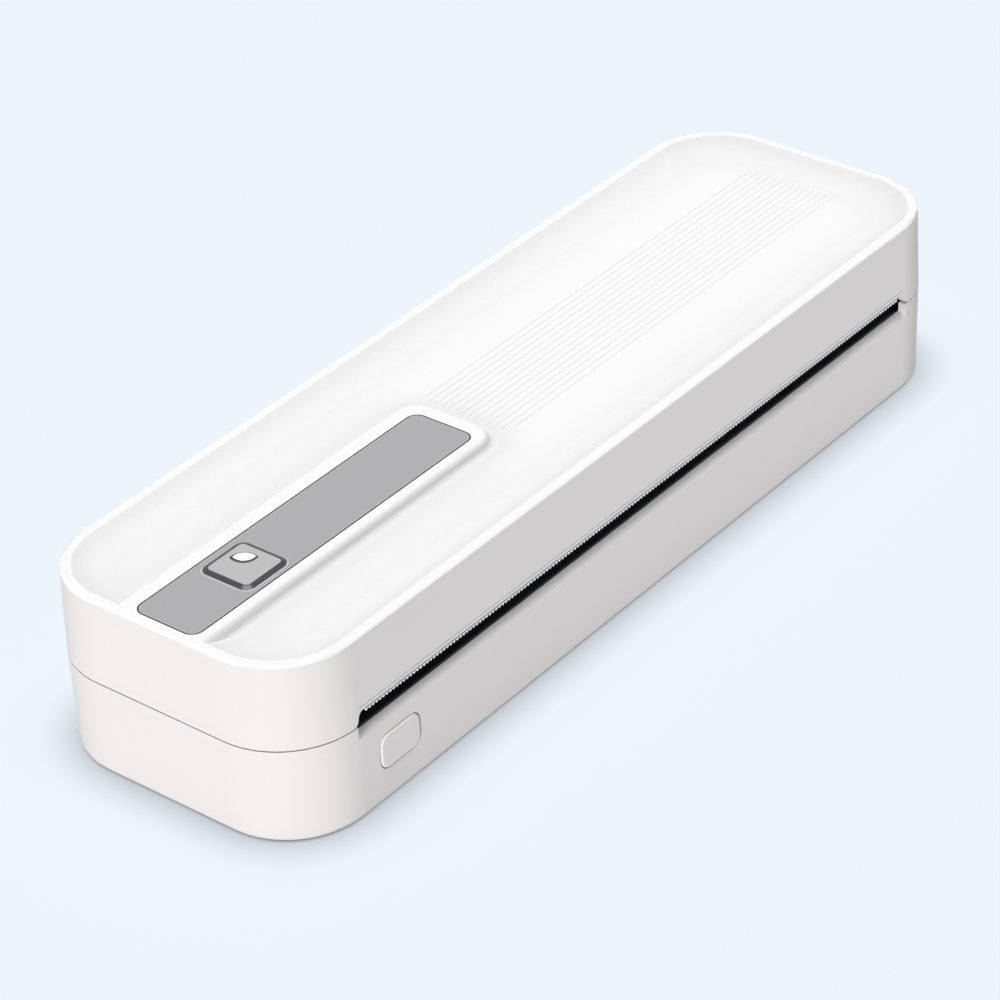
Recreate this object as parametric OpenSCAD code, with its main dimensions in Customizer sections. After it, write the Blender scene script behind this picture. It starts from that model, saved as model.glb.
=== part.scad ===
// A long, low portable printer for A4 thermal paper. The lower housing holds the platen roller
// with its gear train, the paper deck, the board and the battery cells. The upper cover turns up
// on a hinge along the back edge and carries the print head on a sprung pivot.
// X runs along the body, the front with the paper slot faces -Y, and Z is up from the table.

/* [Body] */
// Length at the parting line
body_l = 264.5; // [264:0.5:270]
// Depth at the parting line
body_d = 81; // [81:0.5:84]
// Height of the rim above the table
body_h = 48.4; // [48:0.2:54]
// Corner radius in plan
corner_r = 21; // [20:0.5:22]
// Height of the parting line
part_z = 25.8; // [25.6:0.1:26]
// Gap between the two halves
seam = 0.35; // [0.2:0.05:0.5]
// Wall thickness of both halves
wall = 2.2; // [1.8:0.1:2.3]
// How far the cover's wall leans in at the rim
cover_draft = 0.6; // [0.5:0.01:1.3]
// How far the housing's wall leans in at the floor
housing_taper = 0.33; // [0.1:0.01:0.5]
// Radius of the cover's top edge
top_r = 0.7; // [0.6:0.1:1.4]
// Radius of the housing's bottom edge
bottom_r = 1; // [0.8:0.1:3.5]
// How far the rubber feet stand out
foot_h = 0.4; // [0.3:0.1:1]

/* [Dished top] */
// Depth of the dish below the rim
dish_depth = 2.4; // [1.8:0.1:2.4]
// Inset of the rim's inner edge from the parting line
rim_inset = 3.2; // [3.1:0.1:4]
// Radius of the curve from the rim to the dish's floor
dish_r = 18; // [12:0.5:19]
// Right end of the raised pad
pad_end = -26; // [-28:0.5:-20]
// Width of the raised pad's flat top
pad_w = 24.2; // [23:0.2:26]
// Radius of the pad's free corners
pad_r = 5; // [3:0.5:8]
// Left end of the grey panel, from the body's end
panel_inset = 3.35; // [3:0.05:3.6]
// Length of the grey panel
panel_l = 99.6; // [95:0.2:100]
// Width of the grey panel
panel_w = 18.7; // [18:0.1:19]
// Middle of the grey panel across the body
panel_y = -0.85; // [-1:0.05:0]
// Corner radius of the grey panel
panel_r = 3; // [2:0.1:5]
// Number of fine grooves along the dish
groove_count = 14; // [6:1:14]
// Pitch of those grooves
groove_pitch = 2.02; // [1.6:0.02:2.04]

/* [Power button] */
// Middle of the button along the body
button_x = -101.6; // [-104:0.2:-96]
// Middle of the button across the body
button_y = -0.95; // [-1.5:0.05:0]
// Width of the cap
cap_w = 12.4; // [11:0.1:12.4]
// Outer width of the dark bezel
bezel_w = 15.2; // [14.8:0.1:16]
// How far the bezel and the cap stand out
button_proud = 0.5; // [0.4:0.1:1]
// Length of the lit window
light_l = 6.6; // [5:0.1:6.8]
// Width of the lit window
light_w = 3.8; // [3:0.1:4.2]

/* [Paper slot] */
// Length of the notch in the cover's front wall
notch_l = 221.5; // [220:0.5:222]
// Top of that notch
notch_z = 29.4; // [29.2:0.1:30]
// Length of the lip cut in the housing's front wall
lip_l = 222.4; // [220:0.1:223]
// Height of the lip at the outer face
lip_out_z = 22; // [21.8:0.1:22.6]
// Height of the lip at the inner face
lip_in_z = 23.1; // [22.8:0.1:23.3]
// Pitch of the tear bar's teeth
tooth_pitch = 1.2; // [1:0.1:2]
// Height of the tear bar's teeth
tooth_h = 0.7; // [0.5:0.1:1]

/* [Release button] */
// Middle of the release button along the body
release_x = -97.4; // [-99:0.1:-95]
// Width of the release button
release_w = 13.8; // [12:0.1:14.2]
// Bottom of the release button
release_z = 8.8; // [8.5:0.1:9.5]
// Height of the release button
release_h = 9.4; // [9:0.1:10]
// Corner radius of the release button
release_r = 3; // [1.5:0.1:4]

/* [Feed] */
// Radius of the platen's rubber
platen_r = 5.5; // [5.3:0.1:5.5]
// Length of the platen's rubber
platen_l = 218; // [212:1:218]
// Gear module
gear_m = 0.6; // [0.59:0.01:0.6]
// Pressure angle of the teeth
pressure = 25; // [22:0.5:25]
// Flank clearance of each tooth
backlash = 0.1; // [0.06:0.01:0.14]

/* [Hidden] */
$fn = 72;

// Levels and slopes of the shell
floor_t = 2;
floor_top = foot_h + floor_t;
housing_top = part_z - seam / 2;
cover_bottom = part_z + seam / 2;
dish_z = body_h - dish_depth;
roof_z = dish_z - 2;
pad_roof_z = body_h - 3;
cover_lean = cover_draft / (body_h - part_z);
housing_lean = housing_taper / (part_z - foot_h);
front_y = -body_d / 2;
back_y = body_d / 2;
fit = 0.05;
pad_sweep = 75;
groove_x = [-21, 118];
groove_w = 0.2;
groove_depth = 0.08;

// Hinge along the back edge
hinge_y = back_y - 2.6;
hinge_z = part_z;
bead_r = 2.5;
trough_r = 3.2;
bead_half = 121;
rail_y = hinge_y - 4.1;
rail_z = 21.7;
knuckle_x = 94;
knuckle_l = 8;
hinge_pin_r = 1;
hinge_pin_l = 18;

// Paper path
inlet_l = 220;
inlet_z = [16.6, 21];
deck_l = 220;
deck_t = 1.5;
deck_nose = [-15.2, 26.2];
deck_knee = [26, 16.4];
deck_tail_y = 38;
guide_z = 23.5;
guide_y = [-38, -28.4];

// Platen, gear train and motor: axes as [y, z], with the gears at the right end
platen = [-22, 21.7];
platen_teeth = 20;
small_teeth = 14;
large_teeth = 36;
pinion_teeth = 12;
stage_1_angle = -30;
stage_2_angle = -17.8;
compound = platen + gear_m * (platen_teeth + small_teeth) / 2 * [cos(stage_1_angle), sin(stage_1_angle)];
motor = compound + gear_m * (large_teeth + pinion_teeth) / 2 * [cos(stage_2_angle), sin(stage_2_angle)];
bracket_x = 111;
bracket_t = 1.2;
inner_gears = [113, 117];
outer_gears = [117.8, 120.3];
shaft_r = 2.5;
bush_r = 4;
stud_r = 1.5;
motor_r = 8.5;
motor_span = [94, 109.8];
motor_shaft_r = 1;

// Print head in the cover
pivot = [-1, 31];
rod_r = 1.5;
head_l = 216;
liner_z = [30, 31.6];
liner_inset = 3.4;
spring_x = [-75, -25, 25, 75];
spring_y = -20;
spring_z = [31, 41];
board_top_z = 33.5;

// Latch
bar_y = [-36, -34.2];
bar_z = [12, 18];
hook_x = 116.5;
hook_w = 3;
hook_top = 29.6;
nose_z = 28.2;
release_gap = 0.3;

// Fastenings
deck_posts = [[-95, -8], [-95, 7.7], [-20, 7.7], [60, -8], [60, 7.7]];
post_r = 3.4;
post_top = 9;
screw_r = 1.25;
liner_bosses = [
    [-124.5, -12], [-124.5, 12], [124.5, -12], [124.5, 12], [-58, 30], [0, 30], [58, 30],
    [-58, -33.2], [0, -33.2], [58, -33.2]
];
boss_r = 2.8;
small_screw_r = 1;
feet = [[-112, -24], [-112, 24], [112, -24], [112, 24]];
foot_r = 5;
foot_recess = 0.8;

// Small parts
cell_r = 7.1;
cell_l = 50;
cell_axis = [-3, 9.9];
cell_x = [-78, -26];
board_z = 4.6;
board_t = 1.6;
board_parts = [
    [-121.5, 11.8, 8.2, 4, 2], [-70, 14, 12, 12, 1.4], [-40, 18, 7, 7, 1], [-10, 13, 22, 9, 2.6],
    [30, 15, 8, 8, 3], [50, 20, 16, 5, 3.4], [78, 16, 9, 6, 2.2], [100, 22, 6, 6, 1.2]
];
usb_y = 16;
usb_z = board_z + board_t;
button_board_z = 39.4;
bezel_r = 2.6;
hole_w = bezel_w - 1.2;
hole_r = bezel_r - 0.6;
light_at = [2.1, 2.1];
thumb_r = 32;
thumb_depth = 0.4;
bar_seat = [-1.7, -1.2];
bar_l = notch_l - 4.5;
cable_x = [-121.2, -113.6];

// ---- Helpers ----

// Carries a section round a rounded rectangle: its x runs outwards from the corner's centre, so
// x = r lies on the outline, and its y runs up
module around(l, d, r) {
    half_l = l / 2 - r;
    half_d = d / 2 - r;
    for (c = [[half_l, half_d, 0], [-half_l, half_d, 90], [-half_l, -half_d, 180], [half_l, -half_d, 270]])
        translate([c[0], c[1], 0]) rotate([0, 0, c[2]]) rotate_extrude(angle = 90) children();
    for (turn = [0, 180], side = [[half_l, 0, half_d], [half_d, 90, half_l]])
        rotate([0, 0, turn + side[1]]) translate([side[0], 0, 0]) rotate([90, 0, 0])
            translate([0, 0, -side[2]]) linear_extrude(2 * side[2]) children();
}

// The same, with the middle of the rectangle filled from z0 to z1
module filled(l, d, r, z0, z1) {
    around(l, d, r) children();
    translate([r - l / 2, r - d / 2, z0]) cube([l - 2 * r, d - 2 * r, z1 - z0]);
}

// An upright slab with round corners in plan
module slab(l, d, r, z0, z1) {
    filled(l, d, r, z0, z1) translate([0, z0]) square([r, z1 - z0]);
}

// A flat rectangle with round corners
module rounded(l, d, r) {
    square([l - 2 * r, d], center = true);
    square([l, d - 2 * r], center = true);
    for (sx = [-1, 1], sy = [-1, 1])
        translate([sx * (l / 2 - r), sy * (d / 2 - r)]) circle(r);
}

// A box from one corner to the other
module block(from, to) {
    translate(from) cube(to - from);
}

// A round bar along X from x0 to x1 about the axis [y, z]
module rod(x0, x1, axis, r) {
    translate([x0, axis[0], axis[1]]) rotate([0, 90, 0]) cylinder(r = r, h = x1 - x0);
}

// The same, with its middle at x
module rod_at(x, l, axis, r) {
    rod(x - l / 2, x + l / 2, axis, r);
}

// An outline drawn in Y and Z, drawn out along X from x0 to x1
module along_x(x0, x1) {
    translate([x0, 0, 0]) rotate([90, 0, 90]) linear_extrude(x1 - x0) children();
}

// An outline drawn in X and Z, drawn out along Y from y0 to y1
module along_y(y0, y1) {
    translate([0, y1, 0]) rotate([90, 0, 0]) linear_extrude(y1 - y0) children();
}

// Height of the deck's upper surface at y
function deck_z(y) = y > deck_knee[0] ? deck_knee[1]
    : deck_nose[1] + (deck_knee[1] - deck_nose[1]) * (y - deck_nose[0]) / (deck_knee[0] - deck_nose[0]);

// Inner face of the cover's front wall at height z
function front_inside(z) = front_y + wall + cover_lean * (z - part_z);

// Points of an arc in the plane
function arc(centre, r, from, to, steps) =
    [for (i = [0 : steps])
        let (a = from + (to - from) * i / steps)
        centre + r * [cos(a), sin(a)]];

// Moves children to the cover's leaning front wall: local x along the body, y into the cover,
// z up the wall from the notch's edge, y = 0 at the inner face
module on_front_wall() {
    translate([0, front_inside(notch_z), notch_z]) rotate([-atan(cover_lean), 0, 0]) children();
}

// A spring coil along Z from 0 to h: one unbroken tube of wire
function coil_point(r, h, turns, a) = [r * cos(a), r * sin(a), h * a / (360 * turns)];
module coil(r, wire, h, turns) {
    sides = 6;
    rings = 12 * turns;
    rise = h - 2 * wire;
    points = [for (i = [0 : rings], s = [0 : sides - 1])
        let (
            a = 360 * turns * i / rings,
            c = coil_point(r, rise, turns, a) + [0, 0, wire],
            w = 360 * s / sides
        )
        c + wire * (cos(w) * [cos(a), sin(a), 0] + sin(w) * [0, 0, 1])];
    skin = [for (i = [0 : rings - 1], s = [0 : sides - 1])
        let (a = i * sides + s, b = i * sides + (s + 1) % sides)
        each [[a, b, a + sides], [b, b + sides, a + sides]]];
    first = [for (s = [1 : sides - 2]) [0, s + 1, s]];
    end = rings * sides;
    last = [for (s = [1 : sides - 2]) [end, end + s, end + s + 1]];
    polyhedron(points = points, faces = concat(skin, first, last));
    echo("least gap of the coil to itself", rise / turns - 2 * wire);
}

// Involute gear outline with a tooth centred on the x axis
module gear_outline(teeth) {
    pitch_r = gear_m * teeth / 2;
    base_r = pitch_r * cos(pressure);
    tip_r = pitch_r + gear_m;
    root_r = pitch_r - 1.25 * gear_m;
    steps = 3;
    at_pitch = tan(pressure) * 180 / PI - pressure;
    half = 90 / teeth + at_pitch - backlash / 2 / pitch_r * 180 / PI;
    roll_tip = sqrt(pow(tip_r / base_r, 2) - 1);
    flank = [for (i = [0 : steps])
        let (roll = roll_tip * i / steps)
        [base_r * sqrt(1 + roll * roll), half - roll * 180 / PI + atan(roll)]];
    polygon([for (k = [0 : teeth - 1])
        let (
            rising = [for (p = flank) [p[0], -p[1]]],
            falling = [for (i = [steps : -1 : 0]) flank[i]],
            tooth = concat([[root_r, -half]], rising, falling, [[root_r, half]])
        )
        each [for (p = tooth) p[0] * [cos(p[1] + 360 * k / teeth), sin(p[1] + 360 * k / teeth)]]]);
}

// A gear along X about the axis [y, z], turned by phase
module gear(teeth, span, axis, phase) {
    along_x(span[0], span[1]) translate(axis) rotate(phase) gear_outline(teeth);
}

// ---- Lower housing ----

module housing_section() {
    slant = sqrt(1 + housing_lean * housing_lean);
    z = foot_h + bottom_r;
    x = corner_r - housing_lean * (part_z - z) - bottom_r * slant;
    polygon([
        [0, foot_h], [x, foot_h], [x, z],
        [x + bottom_r / slant, z - bottom_r * housing_lean / slant],
        [corner_r - housing_lean * seam / 2, housing_top], [0, housing_top]
    ]);
    translate([x, z]) circle(bottom_r);
}

module housing_cavity_section() {
    inner = corner_r - wall;
    polygon([
        [0, floor_top], [inner - housing_taper - 1, floor_top], [inner - housing_taper, floor_top + 1],
        [inner, part_z], [inner, part_z + 1], [0, part_z + 1]
    ]);
}

// The inside of the outline, for ribs that run into the curved wall
module inside(z0, z1, inset) {
    slab(body_l - 2 * inset, body_d - 2 * inset, corner_r - inset, z0, z1);
}

module hinge_rail() {
    intersection() {
        block([-bead_half - 2.5, rail_y, rail_z], [bead_half + 2.5, back_y, housing_top]);
        inside(rail_z - 1, part_z, 1);
    }
}

module base_knuckles() {
    for (s = [-1, 1])
        difference() {
            union() {
                rod_at(s * knuckle_x, knuckle_l, [hinge_y, hinge_z], bead_r);
                block([s * knuckle_x - knuckle_l / 2, hinge_y - 1.2, rail_z],
                    [s * knuckle_x + knuckle_l / 2, hinge_y + 1.2, hinge_z]);
            }
            rod_at(s * knuckle_x, 2 * knuckle_l, [hinge_y, hinge_z], hinge_pin_r);
        }
}

// The slot's lower lip: a sloped step in the front wall whose ends run out round
module lip_cut() {
    slope = (lip_in_z - lip_out_z) / wall;
    run_out = 1.8;
    intersection() {
        along_x(-lip_l / 2, lip_l / 2)
            polygon([
                [front_y - 1, lip_out_z - slope], [front_y + wall + 1, lip_in_z + slope],
                [front_y + wall + 1, part_z + 1], [front_y - 1, part_z + 1]
            ]);
        along_y(front_y - 2, front_y + wall + 2)
            translate([0, part_z + 1]) rounded(lip_l, 2 * (part_z + 1 - lip_out_z + slope), run_out);
    }
}

module base_ribs() {
    rib = 1.6;
    for (x = [-80, -40, 0, 40, 80]) // under the front guide
        block([x - rib / 2, front_y + 1, bar_z[1] + 0.9], [x + rib / 2, -30.2, guide_z - 1.4]);
    for (x = [-110, -60, 0, 60, 110]) // under the latch bar
        block([x - rib / 2, front_y + 1, bar_z[0] - 2.2], [x + rib / 2, -31, bar_z[0] - 0.1]);
    block([release_x - 2, -29.6, floor_t], [release_x + 2, -28.2, 17.5]); // the spring's post
    for (c = cell_x, end = [8, cell_l - 8]) // cradles under the cells
        difference() {
            block([c + end - rib / 2, cell_axis[0] - 7.4, floor_t],
                [c + end + rib / 2, cell_axis[0] + 7.4, 7]);
            rod(c, c + cell_l, cell_axis, cell_r);
        }
    for (x = [-118, -60, 20, 86, 118]) // under the board
        translate([x, 28, floor_t]) cylinder(r = 2, h = board_z - floor_t);
    block([-deck_l / 2, deck_tail_y - 4, floor_t], [deck_l / 2, back_y - 1.5, inlet_z[0] - deck_t - 0.2]);
}

module release_outline(grow) {
    translate([release_x, release_z + release_h / 2])
        rounded(release_w + 2 * grow, release_h + 2 * grow, release_r + grow);
}

module lower_housing() {
    color("white") {
        difference() {
            union() {
                difference() {
                    filled(body_l, body_d, corner_r, foot_h, housing_top) housing_section();
                    filled(body_l, body_d, corner_r, floor_top, part_z + 1) housing_cavity_section();
                }
                hinge_rail();
                base_ribs();
                for (p = deck_posts)
                    translate([p[0], p[1], floor_t]) cylinder(r = post_r, h = post_top - floor_t);
            }
            rod(-bead_half - 0.8, bead_half + 0.8, [hinge_y, hinge_z], trough_r);
            lip_cut();
            along_y(front_y - 1, front_y + wall + 1) release_outline(release_gap);
            along_y(back_y - wall - 1, back_y + 1)
                translate([0, (inlet_z[0] + inlet_z[1]) / 2]) rounded(inlet_l, inlet_z[1] - inlet_z[0], 1.5);
            along_x(body_l / 2 - wall - 1, body_l / 2 + 1)
                translate([usb_y, usb_z + 1.6]) rounded(9.6, 3.8, 1.8);
            for (f = feet)
                translate([f[0], f[1], 0]) cylinder(r = foot_r, h = foot_h + foot_recess);
            for (p = deck_posts)
                translate([p[0], p[1], 0]) {
                    cylinder(r = screw_r, h = post_top + 1);
                    cylinder(r = 2.3, h = 3.6);
                }
        }
        base_knuckles();
    }
}

// ---- What the housing carries ----

module front_guide() {
    color("#1c1c1e")
        along_x(-deck_l / 2, deck_l / 2)
            polygon([
                [guide_y[0], guide_z], [guide_y[1] - 0.7, guide_z], [guide_y[1], guide_z - 0.7],
                [guide_y[1], 19.5], [guide_y[1] - 1.3, 19.5], [guide_y[1] - 1.3, guide_z - 1.4],
                [guide_y[0], guide_z - 1.4]
            ]);
}

module deck_outline(rise) {
    polygon([
        [deck_nose[0], deck_nose[1] + rise], [deck_knee[0], deck_knee[1] + rise],
        [deck_tail_y, deck_knee[1] + rise], [deck_tail_y, deck_knee[1] - deck_t],
        [deck_knee[0] - 0.2, deck_knee[1] - deck_t],
        [deck_nose[0] + deck_t, deck_z(deck_nose[0] + deck_t) - deck_t],
        [deck_nose[0] + deck_t, 20.5], [deck_nose[0], 20.5]
    ]);
}

module paper_deck() {
    rib_h = 0.5;
    color("#1c1c1e")
        difference() {
            union() {
                along_x(-deck_l / 2, deck_l / 2) deck_outline(0);
                for (x = [-96 : 24 : 96])
                    along_x(x - 0.6, x + 0.6) deck_outline(rib_h);
                for (p = deck_posts)
                    translate([p[0], p[1], post_top]) cylinder(r = post_r, h = deck_z(p[1]) - post_top - 1);
            }
            for (p = deck_posts)
                translate([p[0], p[1], post_top - 1]) cylinder(r = screw_r, h = 6);
            rod(motor_span[0] - 0.6, deck_l / 2 + 1, motor, motor_r + 0.4);
            block([26, -11, 15], [36, -5, 30]);
        }
}

module paper_sensor() {
    color("#2b2b2e") {
        block([26.4, -10.6, 17.5], [35.6, -5.4, deck_z(-5.4) - 0.2]);
        block([22, -10.6, 17.5], [40, -5.4, 19]);
    }
}

module rubber_feet() {
    color("#3a3a3c")
        for (f = feet)
            translate([f[0], f[1], 0]) {
                cylinder(r = foot_r - 0.1, h = foot_h + foot_recess);
            }
}

module base_screws() {
    color("silver")
        for (p = deck_posts)
            translate([p[0], p[1], 0])
                difference() {
                    union() {
                        translate([0, 0, 2]) cylinder(r = 2.2, h = 1.6);
                        translate([0, 0, 3.6]) cylinder(r = screw_r, h = post_top + 5 - 3.6);
                    }
                    translate([0, 0, 1]) cylinder(r = 1, h = 1.8, $fn = 6);
                }
}

module main_board() {
    top = board_z + board_t;
    color("#1f5a37") block([-122, 11.5, board_z], [125, 31, top]);
    color("#2b2b2e")
        for (b = board_parts)
            translate([b[0], b[1], top]) cube([b[2], b[3], b[4]]);
}

module usb_port() {
    mouth = body_l / 2 - 0.6;
    color("silver")
        difference() {
            along_x(mouth - 7.2, mouth) translate([usb_y, usb_z + 1.6]) rounded(9, 3.2, 1.5);
            along_x(mouth - 6, mouth + 1) translate([usb_y, usb_z + 1.6]) rounded(8.4, 2.6, 1.2);
        }
    color("#2b2b2e") block([mouth - 6, usb_y - 3.3, usb_z + 1.25], [mouth - 1, usb_y + 3.3, usb_z + 1.95]);
}

module battery_cells() {
    color("#3f6fa8")
        for (x = cell_x) {
            rod(x, x + cell_l - 2.4, cell_axis, cell_r - 0.1);
            rod(x + cell_l - 2.4, x + cell_l - 1.4, cell_axis, 2.6);
        }
}

module stepper_motor() {
    color("#8c8f93")
        difference() {
            union() {
                rod(motor_span[0], motor_span[1], motor, motor_r);
                along_x(motor_span[1], bracket_x) translate(motor) rounded(28, 7, 3.4);
            }
            rod(motor_span[0] + 1, bracket_x + 1, motor, motor_shaft_r + fit);
        }
}

module gear_bracket() {
    color("silver")
        difference() {
            union() {
                along_x(bracket_x, bracket_x + bracket_t)
                    polygon([
                        [-30, floor_top], [10.4, floor_top], [10.4, 8], [14.4, 8], [14.4, 16.5],
                        [-6, 23.5], [-14, 27], [-27, 27], [-30, 24]
                    ]);
                block([bracket_x, -30, floor_top], [bracket_x + 7, -17, floor_top + bracket_t]);
            }
            rod(bracket_x - 1, bracket_x + 3, platen, bush_r);
            rod(bracket_x - 1, bracket_x + 3, compound, stud_r);
            rod(bracket_x - 1, bracket_x + 3, motor, 3.5);
        }
}

module left_bracket() {
    color("silver")
        difference() {
            union() {
                along_x(-bracket_x - bracket_t, -bracket_x)
                    polygon([[-30, floor_top], [-14, floor_top], [-14, 27], [-27, 27], [-30, 24]]);
                block([-bracket_x - 7, -30, floor_top], [-bracket_x, -17, floor_top + bracket_t]);
            }
            rod(-bracket_x - 3, -bracket_x + 1, platen, bush_r);
        }
}

module platen_bushes() {
    color("#e6e2d6")
        for (s = [-1, 1])
            difference() {
                union() {
                    rod_at(s * (bracket_x + 0.85), 1.7, platen, bush_r);
                    rod_at(s * (bracket_x - 0.4), 0.8, platen, bush_r + 1);
                }
                rod_at(s * bracket_x, 6, platen, shaft_r + fit);
            }
}

module gear_stud() {
    color("silver") {
        rod(bracket_x, outer_gears[1] + 1, compound, stud_r);
        rod(outer_gears[1] + 0.3, outer_gears[1] + 0.8, compound, stud_r + 1.1);
    }
}

module hinge_pins() {
    color("silver")
        for (s = [-1, 1])
            rod_at(s * knuckle_x, hinge_pin_l, [hinge_y, hinge_z], hinge_pin_r);
}

// The flat cable from the board over the hinge side to the head's board
module head_cable() {
    t = 0.3;
    lower = arc([26, 15.6], 7, -75, 0, 5);
    upper = arc([25, 26], 8, 0, 85, 6);
    route = concat([[13, 8.6], [26, 8.6]], lower, upper, [[-6, 35.5]]);
    last = len(route) - 1;
    function side(i) =
        let (d = route[min(i + 1, last)] - route[max(i - 1, 0)])
        [-d[1], d[0]] / norm(d) * t / 2;
    color("#d8d4c8")
        along_x(cable_x[0], cable_x[1])
            polygon(concat(
                [for (i = [0 : last]) route[i] + side(i)],
                [for (i = [last : -1 : 0]) route[i] - side(i)]
            ));
}

module release_spring() {
    color("silver")
        translate([release_x, bar_y[1], 15]) rotate([-90, 0, 0]) coil(2, 0.25, -29.6 - bar_y[1], 3);
}

// ---- Platen and gears ----

module platen_shaft() {
    color("silver") rod(-114, inner_gears[1] + 0.2, platen, shaft_r);
}

module platen_rubber() {
    color("#2a2a2c")
        difference() {
            rod(-platen_l / 2, platen_l / 2, platen, platen_r);
            rod(-platen_l / 2 - 1, platen_l / 2 + 1, platen, shaft_r);
        }
}

module platen_gear() {
    color("#e6e2d6")
        difference() {
            gear(platen_teeth, inner_gears, platen, stage_1_angle);
            rod(inner_gears[0] - 1, inner_gears[1] + 1, platen, shaft_r);
        }
}

module compound_gear() {
    color("#e6e2d6")
        difference() {
            union() {
                gear(small_teeth, inner_gears, compound, stage_1_angle + 180 + 180 / small_teeth);
                rod(inner_gears[1], outer_gears[0], compound, 3);
                gear(large_teeth, outer_gears, compound, stage_2_angle);
            }
            rod(inner_gears[0] - 1, outer_gears[1] + 1, compound, stud_r + fit);
        }
}

module motor_shaft() {
    color("silver") rod(motor_span[0] + 1.2, outer_gears[1] + 0.2, motor, motor_shaft_r);
}

module motor_pinion() {
    color("goldenrod")
        difference() {
            gear(pinion_teeth, outer_gears, motor, stage_2_angle + 180 + 180 / pinion_teeth);
            rod(outer_gears[0] - 1, outer_gears[1] + 1, motor, motor_shaft_r);
        }
}

// ---- Latch ----

module release_button() {
    flange = 1.4;
    edge_r = 0.6;
    h = bar_y[0] - front_y + 0.2;
    color("white") {
        translate([release_x, bar_y[0], release_z + release_h / 2]) rotate([90, 0, 0])
            filled(release_w, release_h, release_r, 0, h) {
                square([release_r, h - edge_r]);
                square([release_r - edge_r, h]);
                translate([release_r - edge_r, h - edge_r]) circle(edge_r);
            }
        along_y(front_y + wall + 0.5, bar_y[0]) release_outline(flange);
    }
}

module latch_bar() {
    color("#2b2b2e") {
        block([-hook_x - hook_w / 2, bar_y[0], bar_z[0]], [hook_x + hook_w / 2, bar_y[1], bar_z[1]]);
        for (s = [-1, 1])
            along_x(s * hook_x - hook_w / 2, s * hook_x + hook_w / 2)
                polygon([
                    [bar_y[0] + 0.4, bar_z[1]], [bar_y[0] + 0.4, nose_z], [bar_y[0] - 0.1, nose_z],
                    [bar_y[0] - 0.1, nose_z + 0.5], [bar_y[0] + 0.6, hook_top], [bar_y[1], hook_top],
                    [bar_y[1], bar_z[1]]
                ]);
    }
}

// ---- Upper cover ----

module cover_section() {
    slant = sqrt(1 + cover_lean * cover_lean);
    z = body_h - top_r;
    x = corner_r - cover_lean * (z - part_z) - top_r * slant;
    polygon([
        [0, cover_bottom], [corner_r - cover_lean * seam / 2, cover_bottom],
        [x + top_r / slant, z + top_r * cover_lean / slant], [x, z], [x, body_h], [0, body_h]
    ]);
    translate([x, z]) circle(top_r);
}

module cover_cavity_section() {
    inner = corner_r - wall;
    at_roof = inner - cover_lean * (roof_z - part_z);
    polygon([
        [0, part_z - 1], [inner, part_z - 1], [inner, part_z], [at_roof, roof_z - 1.5],
        [at_roof - 1.5, roof_z], [0, roof_z]
    ]);
}

module dish_section() {
    foot = corner_r - rim_inset - sqrt(dish_r * dish_r - pow(dish_r - dish_depth, 2));
    translate([0, dish_z]) square([foot, dish_depth + 0.6]);
    intersection() {
        translate([foot, dish_z + dish_r]) circle(dish_r);
        translate([foot, dish_z]) square([dish_r, dish_depth + 0.6]);
    }
}

// The pad's side rounds over from its flat top and runs out in a cove on the dish's floor
module pad_section() {
    r = dish_depth / 2 / (1 - cos(pad_sweep));
    run = r * sin(pad_sweep);
    low = dish_z - 0.5;
    half_h = dish_depth / 2 + 0.5;
    translate([0, low]) square([pad_r, dish_depth + 1.5]);
    translate([0, low]) square([pad_r + run, half_h]);
    intersection() {
        translate([pad_r, body_h - r]) circle(r);
        translate([0, low]) square([pad_r + run, dish_depth + 1]);
    }
    difference() {
        translate([0, low]) square([pad_r + 2 * run, half_h]);
        translate([pad_r + 2 * run, dish_z + r]) circle(r);
    }
}

// The dished top leaves the pad standing at the height of the rim
module dish_cut() {
    pad_start = -body_l / 2 - 12;
    pad_l = pad_end - pad_start;
    difference() {
        filled(body_l, body_d, corner_r, dish_z, body_h + 0.6) dish_section();
        translate([pad_start + pad_l / 2, 0, 0])
            filled(pad_l, pad_w, pad_r, dish_z - 0.5, body_h + 1) pad_section();
    }
    for (i = [0 : groove_count - 1])
        translate([groove_x[0], groove_pitch * (i - (groove_count - 1) / 2), dish_z - groove_depth])
            cube([groove_x[1] - groove_x[0], groove_w, 1]);
}

// The notch over the paper slot, whose ends flare out at the parting line
module notch_cut() {
    round_r = 1.8;
    h = notch_z - cover_bottom;
    along_y(front_y - 2, front_y + wall + 1) {
        translate([0, cover_bottom]) rounded(notch_l, 2 * h, round_r);
        for (s = [-1, 1])
            translate([s * notch_l / 2, cover_bottom])
                difference() {
                    translate([s * round_r / 2, 0]) square([round_r, 2 * round_r], center = true);
                    translate([s * round_r, round_r]) circle(round_r);
                }
    }
}

module hinge_bead() {
    intersection() {
        rod(-bead_half, bead_half, [hinge_y, hinge_z], bead_r);
        inside(hinge_z - 4, hinge_z + 4, 0.05);
    }
}

module catches() {
    for (s = [-1, 1])
        intersection() {
            block([s * hook_x - hook_w / 2, front_y, cover_bottom + 0.3],
                [s * hook_x + hook_w / 2, bar_y[0] - 0.4, nose_z - 0.3]);
            inside(part_z - 1, nose_z, 1);
        }
}

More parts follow.
